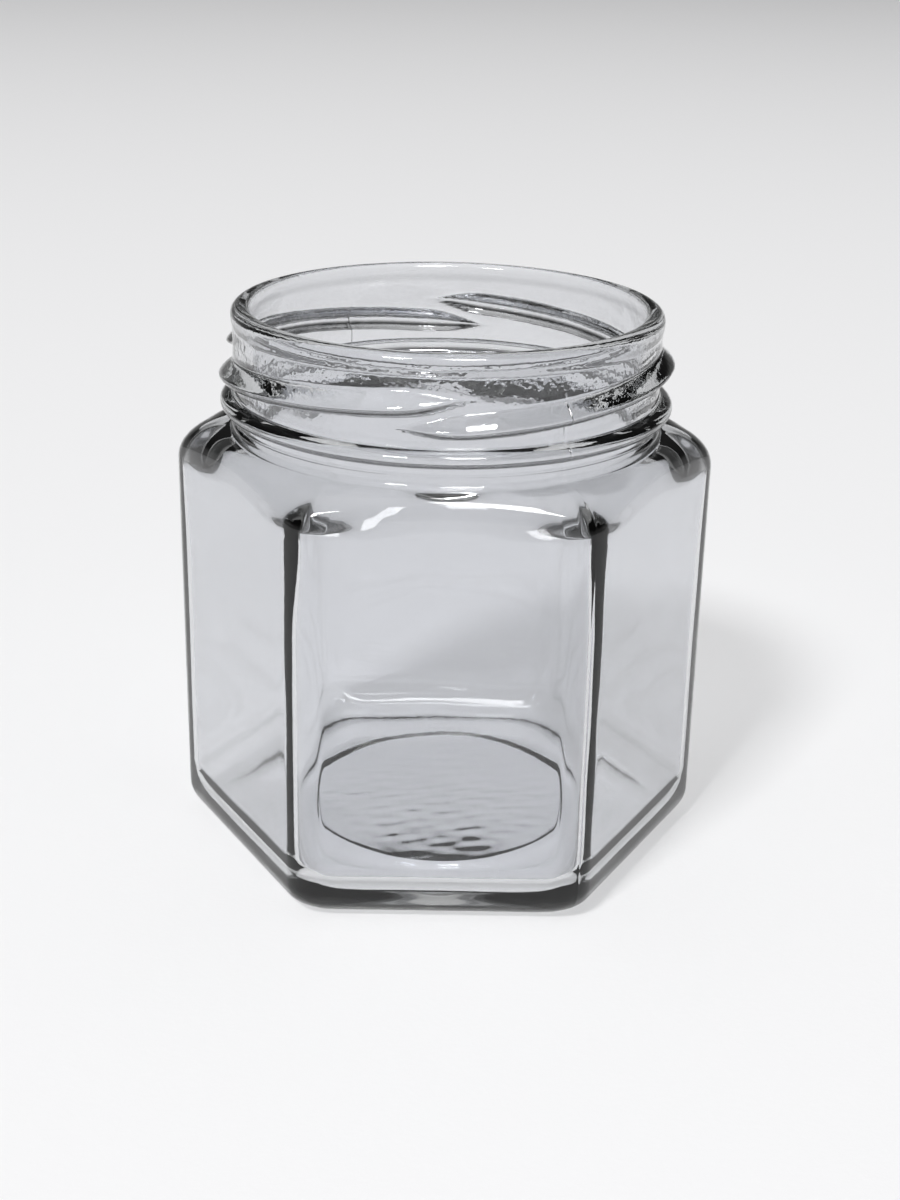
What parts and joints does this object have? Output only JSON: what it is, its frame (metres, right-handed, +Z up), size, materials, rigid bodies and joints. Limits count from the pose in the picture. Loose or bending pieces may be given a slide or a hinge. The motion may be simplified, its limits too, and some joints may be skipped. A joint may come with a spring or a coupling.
{
  "type": "hexagonal glass jar",
  "caption": "Small hexagonal jar of clear glass with a round twist-off neck, empty and without its lid, for jam, honey or spices.",
  "frame": {"origin": "middle of the base, on the surface that the jar stands on", "axes": "+Z up along the neck's axis, -Y out of the front panel, two upright edges on the X axis"},
  "size_m": [0.0736, 0.065, 0.076],
  "materials": {
    "clear_glass": "fire-polished, glossy, a slight grey tint"
  },
  "bodies": {
    "root": {"jar": "clear_glass"}
  },
  "joints": []
}
